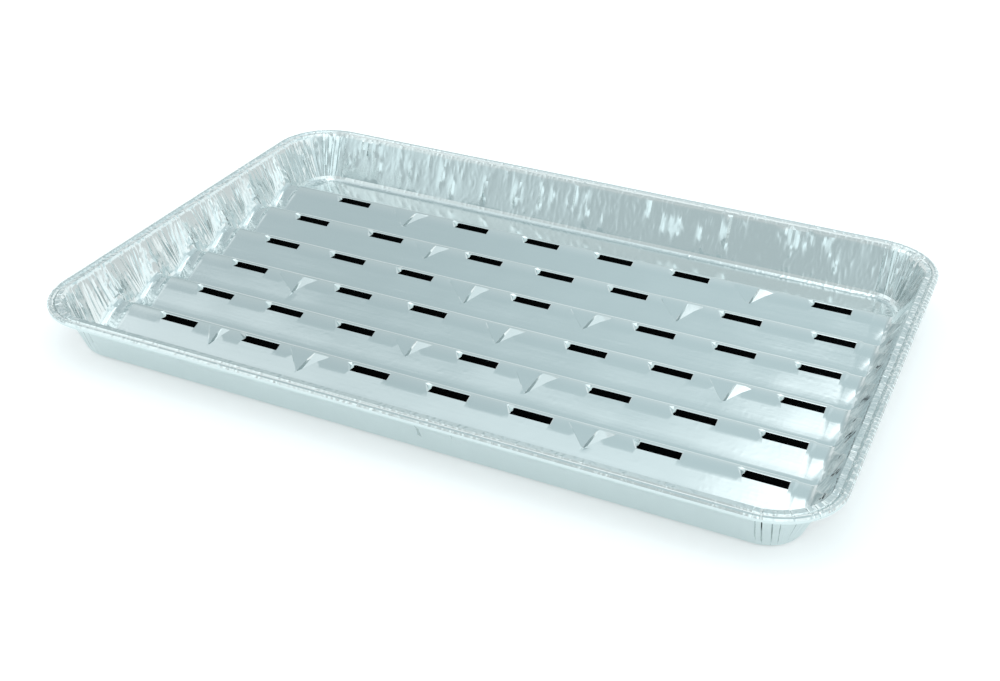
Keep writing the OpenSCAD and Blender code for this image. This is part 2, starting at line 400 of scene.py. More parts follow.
    def slots(self, k: int) -> list[float]:
        """Gives the middles of a ridge's slots.

        Args:
            k: The ridge, counted from the far side.

        Returns:
            Places along X, rising.
        """
        step, reach = self.slot_step, self.floor_x - self.slot_margin - self.slot_l / 2
        a = [step / 2, 1.5 * step, reach - 0.21 * step]
        b = [0.0, 0.96 * step, reach - 1.1 * step, reach]
        c = [0.0, reach - 1.91 * step, reach - 0.96 * step, reach]
        d = [step, 2 * step, reach]
        row = [a, b, c, d, c, b][k]
        return sorted({self.slot_shift + side * x for x in row for side in (-1, 1)})


@dataclass(frozen=True)
class Facet:
    """One flat of a dent, let into the ridge with a narrow turned edge all round. Its first corner lies
    on the crest, and the corners go round anticlockwise."""

    corners: tuple[Vector, Vector, Vector]
    height: float
    fall: float
    lean: float
    edge: float = 0.35

    @property
    def sides(self) -> list[tuple[Vector, Vector]]:
        """Its sides as pairs of ends in plan."""
        return list(zip(self.corners, (*self.corners[1:], self.corners[0])))

    def folds(self) -> list[tuple[Vector, Vector]]:
        """Gives the lines that the sheet folds along, as pairs of ends in plan."""
        found = []
        for a, b in self.sides:
            along = (b - a).normalized()
            inwards = plan(-along.y, along.x) * self.edge
            found += [(a, b), (a + inwards, b + inwards)]
        return found

    def pressed(self, x: float, y: float, z: float) -> float:
        """Gives the height of the sheet with this flat pressed into it.

        Args:
            x: Place along the pan.
            y: Place across the pan.
            z: Height of the plain sheet.

        Returns:
            The new height, which is z outside the flat.
        """
        room = min((b - a).cross(plan(x - a.x, y - a.y)).z / (b - a).length for a, b in self.sides)
        if room <= TOUCH:
            return z
        flat = self.height - self.fall * (self.corners[0].y - y) - self.lean * (x - self.corners[0].x)
        return z + (flat - z) * min(1.0, room / self.edge)


@dataclass(frozen=True)
class Dent:
    """A buckled triangle on a ridge: its base lies along the crest and its tip points down the slope. A
    sharp crease from the base to the tip parts a wide flat from a narrow and steeper one. Tilts are in
    degrees, and the lean is the steeper flat's fall to the right."""

    ridge: int
    middle: float
    left_w: float
    right_w: float
    tip_at: float
    reach: float
    flat_tilt: float = 21.5
    steep_tilt: float = 28.7
    lean: float = 0.03

    def facets(self, form: PanForm) -> list[Facet]:
        """Gives its two flats.

        Args:
            form: The pan's sizes.

        Returns:
            The wide one at the left and the narrow one at the right.
        """
        top = plan(self.middle, form.crests[self.ridge] - form.strip_at)
        left, right = top - plan(self.left_w, 0), top + plan(self.right_w, 0)
        tip = top + plan(self.tip_at, -self.reach)
        return [Facet((top, left, tip), form.crest_z, math.tan(math.radians(self.flat_tilt)), 0.0),
                Facet((top, tip, right), form.crest_z, math.tan(math.radians(self.steep_tilt)), self.lean)]


@dataclass
class RibbedFloor:
    """The floor of the pan: ridges that run along it, slots in their strips and buckled dents."""

    form: PanForm = field(default_factory=PanForm)
    columns: int = 124
    end_rooms: tuple[float, ...] = (0.0, 0.5, 1.0, 1.5, 2.0, 2.6, 3.2, 4.0, 5.0, 6.2)
    inner_room: float = 7.8
    corner_arc: tuple[float, ...] = (15, 30, 45, 58, 70, 80, 90)
    far_rows: tuple[float, ...] = (1.5, 4.5, 8.0, 11.0)
    near_rows: tuple[float, ...] = (1.2, 3.0)
    slope_rows: tuple[float, ...] = (8.0, 10.6, 13.4)
    dent_left: float = 12.6
    dent_right: float = 7.6
    dent_reach: float = 10.34
    dent_reach_drift: float = 1.128
    dent_tip: float = -2.0
    dent_drift: float = 1.2
    wide_gap: float = 1.2
    cut_past: float = 1.2
    bent_w: float = 2.6
    bent_d: float = 1.55
    torn_w: float = 0.6
    lip: tuple[tuple[float, float], ...] = ((0.26, 0.15), (0.05, 0.28))
    lip_end: float = 0.3
    waves: tuple[Wave, ...] = (Wave(0.12, 34, 1.6, 3.0), Wave(0.05, 13, 1.0, 7.0))
    waves_from: float = 8.0
    far_bulge: float = 0.3
    bulge_at: tuple[float, float, float, float] = (3.0, 15.0, 17.0, 24.0)
    crumple: tuple[Wave, ...] = (Wave(0.4, 4.5, 1.0, 5.0), Wave(0.22, 2.2, 1.0, 9.0))
    crumple_room: tuple[float, float] = (7.5, 2.0)
    crumple_by_crest: tuple[float, float] = (6.5, 2.0)
    crumple_right: float = 0.05

    def dents(self) -> list[Dent]:
        """Gives the dents in the wide gaps between slots, and a small one in the nearest ridge's first gap.

        The turn only makes each dent a little unlike the next."""
        form, found = self.form, []
        for k in range(form.ridges):
            row = form.slots(k)
            for i in range(1, len(row)):
                small = k == form.ridges - 1 and i == 1
                if not small and row[i] - row[i - 1] <= self.wide_gap * form.slot_step:
                    continue
                turn = math.radians(97 * k + 61 * i)
                found.append(Dent(
                    ridge=k,
                    middle=(row[i] + row[i - 1]) / 2 + self.dent_drift * math.sin(turn),
                    left_w=self.dent_left * (0.5 if small else 1.0 + 0.1 * math.cos(turn)),
                    right_w=self.dent_right * (0.6 if small else 1.0),
                    tip_at=self.dent_tip + self.dent_drift * math.cos(2 * turn),
                    reach=self.dent_reach + self.dent_reach_drift * math.sin(3 * turn)))
        return found

    def rows(self) -> list[float]:
        """Gives where the rows of the blank lie across the pan, rising."""
        form = self.form
        arc = [form.straight_y + form.floor_r * math.sin(math.radians(a)) for a in self.corner_arc]
        far = [form.first_y + d for d in self.far_rows]
        near = [form.last_y - d for d in self.near_rows]
        steps = [off for off, _ in form.section[1:-1]]
        ridged = [crest - d for crest in form.crests for d in (-form.back_w, *steps, *self.slope_rows)]
        return sorted({round(y, 4) for y in [*far, *near, *ridged, form.last_y, *arc, *(-a for a in arc)]})

    def lay_out(self, bm: BMesh) -> None:
        """Lays the blank out flat, its outline that of the floor.

        Args:
            bm: An empty mesh that takes the grid.
        """
        rows, ends = self.rows(), len(self.end_rooms)
        last = self.columns + 2 * ends
        bmesh.ops.create_grid(bm, x_segments=last, y_segments=len(rows) - 1, size=1.0)
        for v in bm.verts:
            y = rows[round((v.co.y + 1) / 2 * (len(rows) - 1))]
            i, half = round((v.co.x + 1) / 2 * last), self.form.half_x(y)
            if min(i, last - i) < ends:
                x = math.copysign(half - self.end_rooms[min(i, last - i)], v.co.x)
            else:
                x = (2 * (i - ends) / self.columns - 1) * (half - self.inner_room)
            v.co = plan(x, y)

    @staticmethod
    def score(bm: BMesh, a: Vector, b: Vector, low: Vector, high: Vector) -> None:
        """Cuts the blank along the line through two points, inside a box only.

        Args:
            bm: The flat blank.
            a: One point of the line.
            b: Another point of the line.
            low: Lowest corner of the box in plan.
            high: Highest corner of the box in plan.
        """
        faces = faces_in(bm, low, high)
        geom = list({e for f in faces for e in [*f.verts, *f.edges]}) + faces
        along = (b - a).normalized()
        bmesh.ops.bisect_plane(bm, geom=geom, dist=TOUCH, plane_co=a, plane_no=plan(-along.y, along.x))

    def punch(self, bm: BMesh) -> None:
        """Cuts the slots out of the blank.

        Args:
            bm: The flat blank.
        """
        form = self.form
        for k, crest in enumerate(form.crests):
            near, far = crest - form.slope_at, crest - form.strip_at
            for middle in form.slots(k):
                left, right = middle - form.slot_l / 2, middle + form.slot_l / 2
                bent = left - self.bent_w
                for x in (left, right, bent, left + self.torn_w):
                    self.score(bm, plan(x, near), plan(x, far), plan(x - form.slot_w, near),
                               plan(x + form.slot_w, far))
                self.score(bm, plan(left, near), plan(bent, far), plan(bent, near), plan(left, far))
                bmesh.ops.delete(bm, geom=faces_in(bm, plan(left, near), plan(right, far)), context="FACES")

    def crease(self, bm: BMesh) -> None:
        """Cuts the folds of the dents into the blank.

        Args:
            bm: The flat blank.
        """
        for facet in (f for dent in self.dents() for f in dent.facets(self.form)):
            for a, b in facet.folds():
                past = plan(self.cut_past, self.cut_past / 3)
                low = plan(min(a.x, b.x), min(a.y, b.y)) - past
                high = plan(max(a.x, b.x), max(a.y, b.y)) + past
                self.score(bm, a, b, low, high)

    def height(self, x: float, y: float, dents: list[Dent]) -> float:
        """Gives the pressed height of the floor.

        Args:
            x: Place along the pan.
            y: Place across the pan.
            dents: The dents of the floor.

        Returns:
            Height over the valleys.
        """
        form = self.form
        room = form.half_x(y) - abs(x)
        z = form.floor_z(y, room) + form.foot_z(form.in_floor + room, 0.0)
        for dent in dents:
            for facet in dent.facets(form):
                z = facet.pressed(x, y, z)
        z -= self.punched(x, y)
        free = ramp(room, 0.0, self.waves_from)
        z += free * ripple(x, y, *self.waves)
        rise, full, last, fall = (form.first_y + d for d in self.bulge_at)
        z += self.far_bulge * free * ramp(y, rise, full) * ramp(y, fall, last)
        worn = ramp(room, *self.crumple_room) * ramp(form.crest_gap(y), *self.crumple_by_crest)
        z += worn * (1.0 if x < 0 else self.crumple_right) * ripple(x, y, *self.crumple)
        return max(z, 0.0)

    def punched(self, x: float, y: float) -> float:
        """Gives how far the sheet is bent down round the far left corner of a slot.

        Args:
            x: Place along the pan.
            y: Place across the pan.

        Returns:
            The depth.
        """
        form = self.form
        k, off = form.ridge_at(y)
        if abs(off - form.strip_at) > 10 * TOUCH:
            return 0.0
        left = min((middle - form.slot_l / 2 - x for middle in form.slots(k)), key=abs)
        return self.bent_d * max(0.0, 1 - abs(left) / (self.bent_w if left > 0 else self.torn_w))

    def turn_down(self, bm: BMesh) -> None:
        """Turns the edges of the slots down into a small lip.

        Args:
            bm: The pressed sheet.
        """
        form = self.form
        edges = [e for e in bm.edges if e.is_boundary and all(
            abs(v.co.x) < form.floor_x - form.bare_edge and abs(v.co.y) < form.floor_y - form.bare_edge
            for v in e.verts)]
        half_l, half_w = form.slot_l / 2 - self.lip_end, form.slot_w / 2 - self.lip_end
        for inwards, down in self.lip:
            made = bmesh.ops.extrude_edge_only(bm, edges=edges)["geom"]
            for v in (g for g in made if isinstance(g, BMVert)):
                k, off = form.ridge_at(v.co.y)
                middle = min(form.slots(k), key=lambda m: abs(m - v.co.x))
                along, across = v.co.x - middle, off - (form.strip_at + form.slope_at) / 2
                shift_x = -math.copysign(inwards, along) if abs(along) > half_l else 0.0
                shift_y = math.copysign(inwards, across) if abs(across) > half_w else 0.0
                v.co += Vector((shift_x, shift_y, -down))
            edges = [g for g in made if isinstance(g, BMEdge) and g.is_boundary]

    def press(self, bm: BMesh) -> None:
        """Presses the blank to its height.

        Args:
            bm: The flat blank with its slots and folds cut.
        """
        dents = self.dents()
        for v in bm.verts:
            k = self.form.ridge_at(v.co.y)[0]
            v.co.z = self.height(v.co.x, v.co.y, [d for d in dents if d.ridge == k])
        self.turn_down(bm)


def ring_edges(bm: BMesh, ring: list[BMVert]) -> list[BMEdge]:
    """Finds the edges between the points of a closed ring, in their order."""
    return [bm.edges.get((a, b)) for a, b in zip(ring, [*ring[1:], ring[0]])]


def next_ring(bm: BMesh, ring: list[BMVert]) -> list[BMVert]:
    """Draws the sheet out by one step along a closed ring.

    Args:
        bm: The sheet.
        ring: The ring's points in order.

    Returns:
        The new ring, in the same order.
    """
    made = bmesh.ops.extrude_edge_only(bm, edges=ring_edges(bm, ring))["geom"]
    above = {e.other_vert(v): v for v in made if isinstance(v, BMVert) for e in v.link_edges}
    return [above[v] for v in ring]


@dataclass(frozen=True)
class Column:
    """One upright line of the wall: where it stands at the top and the foot, and how far it is folded in."""

    top: float
    foot: float
    fold: float
    side: Side


@dataclass(frozen=True)
class Wrinkle:
    """One crease of a long wall, in mm along the wall."""

    start: float
    slant: float
    width: float
    depth: float
    low: float
    high: float

    def depth_at(self, place: float, v: float) -> float:
        """Gives how far the wall is pushed by this crease.

        Args:
            place: Distance along the wall.
            v: Share of the wall's height.

        Returns:
            The push inwards, in mm.
        """
        off = abs(place - self.start - self.slant * v) / self.width
        if off >= 1 or not self.low < v < self.high:
            return 0.0
        return self.depth * (1 - off) * math.sin(math.pi * (v - self.low) / (self.high - self.low))


@dataclass
class GatheredWall:
    """The walls: pleats that run together in fans on the left end, faint ones on the right end, dense ones
    in the corners, and slanting creases along the sides and in the corners."""

    form: PanForm = field(default_factory=PanForm)
    seed: int = 11
    levels: tuple[float, ...] = (0.0, 0.07, 0.17, 0.28, 0.4, 0.53, 0.66, 0.8, 0.92, 1.0)
    foot_turn: tuple[float, ...] = (0.30, 0.68)
    widest: float = 2.3
    pleat_step: float = 1.95
    corner_step: float = 2.0
    right_step: float = 1.35
    side_step: float = 1.25
    near_share: float = 0.56
    pleat_d: float = 0.75
    pleat_folds: tuple[float, ...] = (0.2, 0.55, 0.8, 1.0, 1.3)
    corner_share: float = 0.7
    right_share: float = 0.12
    pleat_drift: float = 0.26
    pleat_half: tuple[float, float] = (0.14, 0.22)
    pleat_skew: float = 0.4
    between_pleats: tuple[float, float] = (-0.15, 0.1)
    fold_by_height: tuple[tuple[float, float], ...] = (
        (0, 0.15), (0.12, 0.55), (0.4, 1.0), (0.8, 0.85), (1.0, 0.4))
    fade_above: float = 0.6
    fades: tuple[float, ...] = (0.1, 0.7, 1.0)
    crease_d: float = 1.15
    creases_per_mm: float = 0.8
    crease_w: tuple[float, float] = (0.7, 1.3)
    crease_push: tuple[float, float] = (-0.5, 1.0)
    deep_share: float = 1.7
    shallow_share: float = 0.8
    from_foot: tuple[float, float] = (0.0, 0.3)
    from_middle: tuple[float, float] = (0.45, 0.7)
    rise: tuple[float, float] = (0.5, 1.0)
    past_top: float = 1.12
    side_slant: float = 3.0
    corner_slant: float = 7.0
    side_crowd: float = 0.6
    bunch: tuple[float, float] = (0.02, 0.16)
    long_wave: Wave = Wave(0.25, 24)
    wave_rise: float = 20.0
    knot_d: float = 1.2
    knot_mean: float = 0.3
    knot_grain: float = 1.7
    knot_behind: float = 1.5
    knot_above: float = 2.0
    knot_by_crest: tuple[float, float] = (6.5, 2.0)
    knot_by_height: tuple[float, float] = (5.5, 1.5)
    right_d: float = 0.16
    right_grain: float = 2.0
    right_from: tuple[float, float] = (0.05, 0.6)

    def side_length(self, side: Side, inset: float) -> float:
        """Gives the length of a stretch of the outline.

        Args:
            side: The stretch.
            inset: Distance inwards from the edge of the pan.

        Returns:
            Its length in mm.
        """
        if side.corner:
            return math.pi / 2 * (self.form.corner - inset)
        return 2 * (self.form.straight_y if side.end else self.form.straight_x)

    def foot_place(self, u: float) -> float:
        """Gives where a line that starts at the top ends at the foot, drawn together into fans.

        Args:
            u: Place on the outline at the top.

        Returns:
            Place on the outline at the foot.
        """
        form = self.form
        side = Side(math.floor(u))
        t = u - side.value
        if side.corner:
            return u - 0.1 * form.fan * math.sin(math.radians(360 * (t - 0.5)))
        if not side.end:
            return u
        sign = 1 if side is Side.RIGHT else -1
        y = sign * form.straight_y * (2 * t - 1)
        for crest in form.crests:
            middle = crest - (form.strip_at + form.toe_at + form.toe_w) / 2
            if abs(y - middle) <= form.pitch / 2 and abs(middle) + form.pitch / 2 <= form.straight_y:
                y -= form.fan * form.pitch / (2 * math.pi) * math.sin(2 * math.pi * (y - middle) / form.pitch)
                break
        return side.value + (sign * y / form.straight_y + 1) / 2

    def columns(self) -> list[Column]:
        """Gives the upright lines of the wall, in order round the pan."""
        rng = random.Random(self.seed)
        marks: list[tuple[float, float]] = []
        for side in Side:
            length = self.side_length(side, self.form.in_top)
            if not side.corner and not side.end:
                count = round(length / self.side_step * (1.0 if side is Side.FAR else self.near_share))
                marks += [(side.value + i / count, 0.0) for i in range(count)]
                continue
            right = side is Side.RIGHT
            step = self.corner_step if side.corner else self.pleat_step * (self.right_step if right else 1.0)
            share = self.corner_share if side.corner else self.right_share if right else 1.0
            count = round(length / step)
            for i in range(count):
                middle = side.value + (i + 0.5 + rng.uniform(-self.pleat_drift, self.pleat_drift)) / count
                wide = rng.uniform(*self.pleat_half) / count
                tall = share * self.pleat_d * rng.choice(self.pleat_folds)
                skew = rng.uniform(-self.pleat_skew, self.pleat_skew) * wide
                marks += [(middle - wide, rng.uniform(*self.between_pleats)), (middle + skew, tall),
                          (middle + wide, rng.uniform(*self.between_pleats))]
        marks.sort()
        return self.filled(marks)

    def filled(self, marks: list[tuple[float, float]]) -> list[Column]:
        """Adds lines where those of the pleats stand too far apart at the foot or the top.

        Args:
            marks: Places at the top with their folds, rising.

        Returns:
            All lines in order.
        """
        form, lines = self.form, []
        for (u, fold), (after, next_fold) in zip(marks, [*marks[1:], (marks[0][0] + 8, marks[0][1])]):
            lines.append(Column(u, self.foot_place(u), fold, Side(math.floor(u))))
            end = min(after, OUTLINE_END)
            top = (form.outline(form.in_top, u)[0] - form.outline(form.in_top, end)[0]).length
            foot = (form.outline(form.in_wall, self.foot_place(u))[0]
                    - form.outline(form.in_wall, self.foot_place(end))[0]).length
            parts = math.ceil(max(top, foot) / self.widest)
            for i in range(1, parts):
                place, share = u + (end - u) * i / parts, i / parts
                lines.append(Column(place, self.foot_place(place), fold * (1 - share) + next_fold * share,
                                    Side(math.floor(place))))
        return lines

    def wrinkles(self, side: Side) -> list[Wrinkle]:
        """Gives the creases of a long wall.

        Args:
            side: Which of the long walls.

        Returns:
            Its creases.
        """
        rng = random.Random(self.seed + side.value)
        length = self.side_length(side, self.form.in_top)
        slant, crowd = (self.corner_slant, 1.0) if side.corner else (self.side_slant, self.side_crowd)
        found = []
        for i in range(round(self.creases_per_mm * length)):
            at_foot = i % 2 == 1
            low = rng.uniform(*(self.from_foot if at_foot else self.from_middle))
            place = length * rng.random() ** crowd
            if i % 4 == 0 and not side.corner:
                place = self.bunch[0] * length + self.bunch[1] * place
            share = self.deep_share if i % 7 == 0 else self.shallow_share
            found.append(Wrinkle(place, rng.uniform(-slant, slant), rng.uniform(*self.crease_w),
                                 self.crease_d * share * rng.uniform(*self.crease_push) * rng.random(),
                                 low, low + rng.uniform(*self.rise) if at_foot else self.past_top))
        return found

    def foot_point(self, column: Column, inset: float) -> Vector:
        """Gives a point on the rounded foot of the wall.

        Args:
            column: The upright line.
            inset: Distance inwards from the edge of the pan.

        Returns:
            The point.
        """
        form = self.form
        point, out = form.outline(inset, column.foot)
        side_share = abs(out.y)
        room = 0.0 if abs(out.x) > 0.5 else FAR_AWAY
        ridge = form.floor_z(point.y, room) if abs(point.y) < form.floor_y else 0.0
        return Vector((point.x, point.y, ridge + form.foot_z(inset, side_share)))

    def knot(self, spot: Vector) -> float:
        """Gives the crumple of an end wall where a crest runs into it.

        Args:
            spot: The point on the smooth wall.

        Returns:
            The push inwards, in mm.
        """
        near = min(abs(spot.y - crest - self.knot_behind) for crest in self.form.crests)
        off = abs(spot.z - self.form.ridge_h - self.knot_above)
        weight = ramp(near, *self.knot_by_crest) * ramp(off, *self.knot_by_height)
        return self.knot_d * weight * (noise.noise(spot / self.knot_grain) + self.knot_mean)

    def push(self, column: Column, spot: Vector, v: float, fade: float, creases: list[Wrinkle]) -> float:
        """Gives how far the wall is folded in at a point.

        Args:
            column: The upright line.
            spot: The point on the smooth wall.
            v: Share of the wall's height.
            fade: Share of the fold that is left near the top.
            creases: The creases of this stretch of the wall.

        Returns:
            The push inwards, in mm.
        """
        fold = column.fold * between(self.fold_by_height, v) * (fade if v > self.fade_above else 1.0)
        if column.side is Side.LEFT:
            return fold + self.knot(spot)
        swell = math.sin(math.pi * v)
        if column.side is Side.RIGHT:
            dimple = self.right_d * noise.noise(spot / self.right_grain)
            return fold * ramp(v, *self.right_from) + dimple * swell
        place = (column.top - column.side.value) * self.side_length(column.side, self.form.in_top)
        wave = replace(self.long_wave, pattern=column.side.value)
        creased = sum(w.depth_at(place, v) for w in creases)
        return fold + creased + swell * ripple(place, self.wave_rise * v, wave)

    def draw(self, bm: BMesh, columns: list[Column]) -> list[list[BMVert]]:
        """Draws the wall out of a loop at its foot.

        Args:
            bm: The mesh that takes the wall.
            columns: The upright lines.

        Returns:
            The wall's rings, from the floor's outline up.
        """
        form, turned = self.form, len(self.foot_turn)
        creases = {side: [] if side.end else self.wrinkles(side) for side in Side}
        rng = random.Random(self.seed + 1)
        fades = [rng.choice(self.fades) for _ in columns]
        rings = [bmesh.ops.create_circle(bm, segments=len(columns), radius=1.0)["verts"]]
        while len(rings) < turned + len(self.levels):
            rings.append(next_ring(bm, rings[-1]))
        for i, column in enumerate(columns):
            for r, run in enumerate(self.foot_turn):
                rings[r][i].co = self.foot_point(column, form.in_floor - run * form.foot_run)
            foot = self.foot_point(column, form.in_wall)
            top, out = form.outline(form.in_top, column.top)
            top.z = form.wall_z
            for r, v in enumerate(self.levels):
                spot = foot.lerp(top, v)
                push = self.push(column, spot, v, fades[i], creases[column.side])
                rings[turned + r][i].co = spot - push * out
        return rings


@dataclass
class CurledRim:
    """The flat flange and the curled edge, gathered at the corners and a little at the ends."""

    form: PanForm = field(default_factory=PanForm)
    gather: float = 0.45
    end_share: float = 0.45
    side_share: float = 0.16
    pull_in: float = 0.3
    sag: float = 0.22
    sagging: Wave = Wave(0.5, 46, pattern=2.0)
    seed: int = 5
    curl_turns: tuple[float, ...] = (150, 118, 90, 58, 22, -25, -85)

    def sections(self) -> list[tuple[float, float, float]]:
        """Gives the rim's section as inset, height and how far gathers move it."""
        form = self.form
        flat = [(form.in_top - 0.35 * form.shoulder, form.wall_z + 0.75 * form.shoulder, 0.3),
                (form.in_top - form.shoulder, form.top_z + 0.1, 0.6),
                (form.in_top - form.shoulder - 0.5 * form.flange, form.top_z - 0.05, 1.0),
                (2 * form.curl + 0.45, form.top_z - 0.2, 0.7),
                (2 * form.curl + 0.05, form.top_z - 0.75, 0.7)]
        for turn in map(math.radians, self.curl_turns):
            flat.append((form.curl * (1 - math.cos(turn)), form.rim_z - form.curl * (1 - math.sin(turn)),
                         0.5 * max(0.0, math.sin(turn))))
        return flat

    def roll(self, bm: BMesh, columns: list[Column], ring: list[BMVert]) -> list[BMVert]:
        """Draws the rim out of the wall's top ring.

        Args:
            bm: The mesh that takes the rim.
            columns: The upright lines of the wall.
            ring: The top ring of the wall.

        Returns:
            The ring along the free edge.
        """
        rng = random.Random(self.seed)
        form = self.form
        tucks = []
        for i, column in enumerate(columns):
            share = 1.0 if column.side.corner else self.end_share if column.side.end else self.side_share
            tucks.append(self.gather * share * rng.random() ** 2 * (1.0 if i % 2 else 0.1))
        for inset, z, share in self.sections():
            ring = next_ring(bm, ring)
            for i, column in enumerate(columns):
                point, out = form.outline(inset, column.top)
                sag = self.sag * (0.5 + ripple(point.x, point.y, self.sagging))
                point.z = z - sag * min(1.0, share + 0.3) - share * tucks[i]
                ring[i].co = point - (self.pull_in * tucks[i] * out if inset < 2 * form.curl else Vector())
        return ring


@dataclass(frozen=True)
class RolledFoil:
    """Aluminium foil, bright side up: rolled thin, then pressed cold, so it keeps fine crinkles.

    To the eye it is a pale grey mirror that blurs what it shows, with hair-fine lines along the roll."""

    colour: str = "#DADFDF"
    smoothest: float = 0.07
    roughest: float = 0.18
    roll_mm: tuple[float, float] = (26.0, 0.9)
    roll_bump: float = 0.05
    roll_depth: float = 0.00012
    crinkle_mm: tuple[float, float] = (2.6, 8.32)
    crinkle_bump: float = 0.8
    crinkle_depth: float = 0.0007

    def material(self) -> bpy.types.Material:
        """Builds the finish. Roll lines are drawn about ten times as coarse as real ones, to be seen at all.

        Returns:
            The material.
        """
        made = bpy.data.materials.new("rolled_aluminium_foil")
        tree = bare_tree(made)
        long, fine = (PER_METRE / size for size in self.roll_mm)
        wide, tall = (PER_METRE / size for size in self.crinkle_mm)
        place = add(tree, "ShaderNodeTexCoord").outputs["Object"]
        rolled = add(tree, "ShaderNodeMapping", {"Vector": place, "Scale": (long, fine, fine)})
        lines = add(tree, "ShaderNodeTexNoise", {"Vector": rolled.outputs[0], "Scale": 1.0, "Detail": 3.0})
        folded = add(tree, "ShaderNodeMapping", {"Vector": place, "Scale": (wide, wide, tall)})
        crinkle = add(tree, "ShaderNodeTexNoise", {"Vector": folded.outputs[0], "Scale": 1.0, "Detail": 4.0,
                                                   "Roughness": 0.62}, noise_type="RIDGED_MULTIFRACTAL")
        worn = add(tree, "ShaderNodeAttribute", attribute_name="crumple")
        height = add(tree, "ShaderNodeMath", {0: crinkle.outputs[0], 1: worn.outputs["Fac"]},
                     operation="MULTIPLY")
        first = add(tree, "ShaderNodeBump", {"Height": lines.outputs[0], "Strength": self.roll_bump,
                                             "Distance": self.roll_depth})
        second = add(tree, "ShaderNodeBump", {"Height": height.outputs[0], "Strength": self.crinkle_bump,
                                              "Distance": self.crinkle_depth, "Normal": first.outputs[0]})
        grain = add(tree, "ShaderNodeMapRange", {"Value": lines.outputs[0], "To Min": self.smoothest,
                                                 "To Max": self.roughest})
        shader = add(tree, "ShaderNodeBsdfPrincipled", {"Base Color": linear(self.colour), "Metallic": 1.0,
                                                        "Roughness": grain.outputs[0],
                                                        "Normal": second.outputs[0]})
        add(tree, "ShaderNodeOutputMaterial", {"Surface": shader.outputs[0]})
        return made


def bare_tree(owner: bpy.types.Material | bpy.types.World) -> bpy.types.NodeTree:
    """Clears the node tree of a material or world.

    Args:
        owner: The material or world.

    Returns:
        Its node tree, empty.
    """
    owner.use_nodes = True
    owner.node_tree.nodes.clear()
    return owner.node_tree


def add(tree: bpy.types.NodeTree, kind: str, inputs: dict | None = None, **settings) -> bpy.types.Node:
    """Adds a node with its settings and links.

    Args:
        tree: The node tree.
        kind: The node's type name.
        inputs: Values or sockets to link, by the input's name or number.
        **settings: Properties of the node.

    Returns:
        The node.
    """
    made = tree.nodes.new(kind)
    for name, value in settings.items():
        setattr(made, name, value)
    for name, value in (inputs or {}).items():
        if isinstance(value, bpy.types.NodeSocket):
            tree.links.new(value, made.inputs[name])
        else:
            made.inputs[name].default_value = value
    return made


def piece_of(bm: BMesh, name: str, finish: bpy.types.Material) -> bpy.types.Object:
    """Puts a mesh into the scene as a piece.

    Args:
        bm: The mesh in metres, which is freed.
        name: Name of the piece.
        finish: Its material.

    Returns:
        The piece.
    """
    mesh = bpy.data.meshes.new(name)
    bm.to_mesh(mesh)
    bm.free()
    mesh.materials.append(finish)
    piece = bpy.data.objects.new(name, mesh)
    bpy.context.collection.objects.link(piece)
    return piece


@dataclass(frozen=True)
class Wear:
    """How crinkled the surface of the sheet is, part by part, from 0 to 1."""

    all_over: float = 0.02
    left_end: float = 0.4
    right_end: float = 0.24
    long_side: float = 0.25
    corner: float = 0.3
    left_crest: float = 0.5
    right_crest: float = 0.1
    rim: float = 0.3

    def at(self, form: PanForm, x: float, y: float, z: float) -> float:
        """Gives the wear at a point.

        Args:
            form: The pan's sizes.
            x: Place along the pan.
            y: Place across the pan.
            z: Height over the valleys.

        Returns:
            The wear.
        """
        end, crest = (self.left_end, self.left_crest) if x < 0 else (self.right_end, self.right_crest)
        out_x, out_y = abs(x), abs(y)
        worn = self.all_over + end * ramp(out_x, form.floor_x - 1, form.floor_x + 4)
        worn += self.long_side * ramp(out_y, form.floor_y - 2, form.floor_y + 3)
        worn += self.corner * ramp(min(out_x - form.straight_x, out_y - form.straight_y), -6, 4)
        worn += crest * ramp(form.crest_gap(y), 6, 1.5) * ramp(out_x, form.floor_x - 8, form.floor_x - 1)
        return min(1.0, worn + self.rim * ramp(z, form.wall_z, form.top_z))


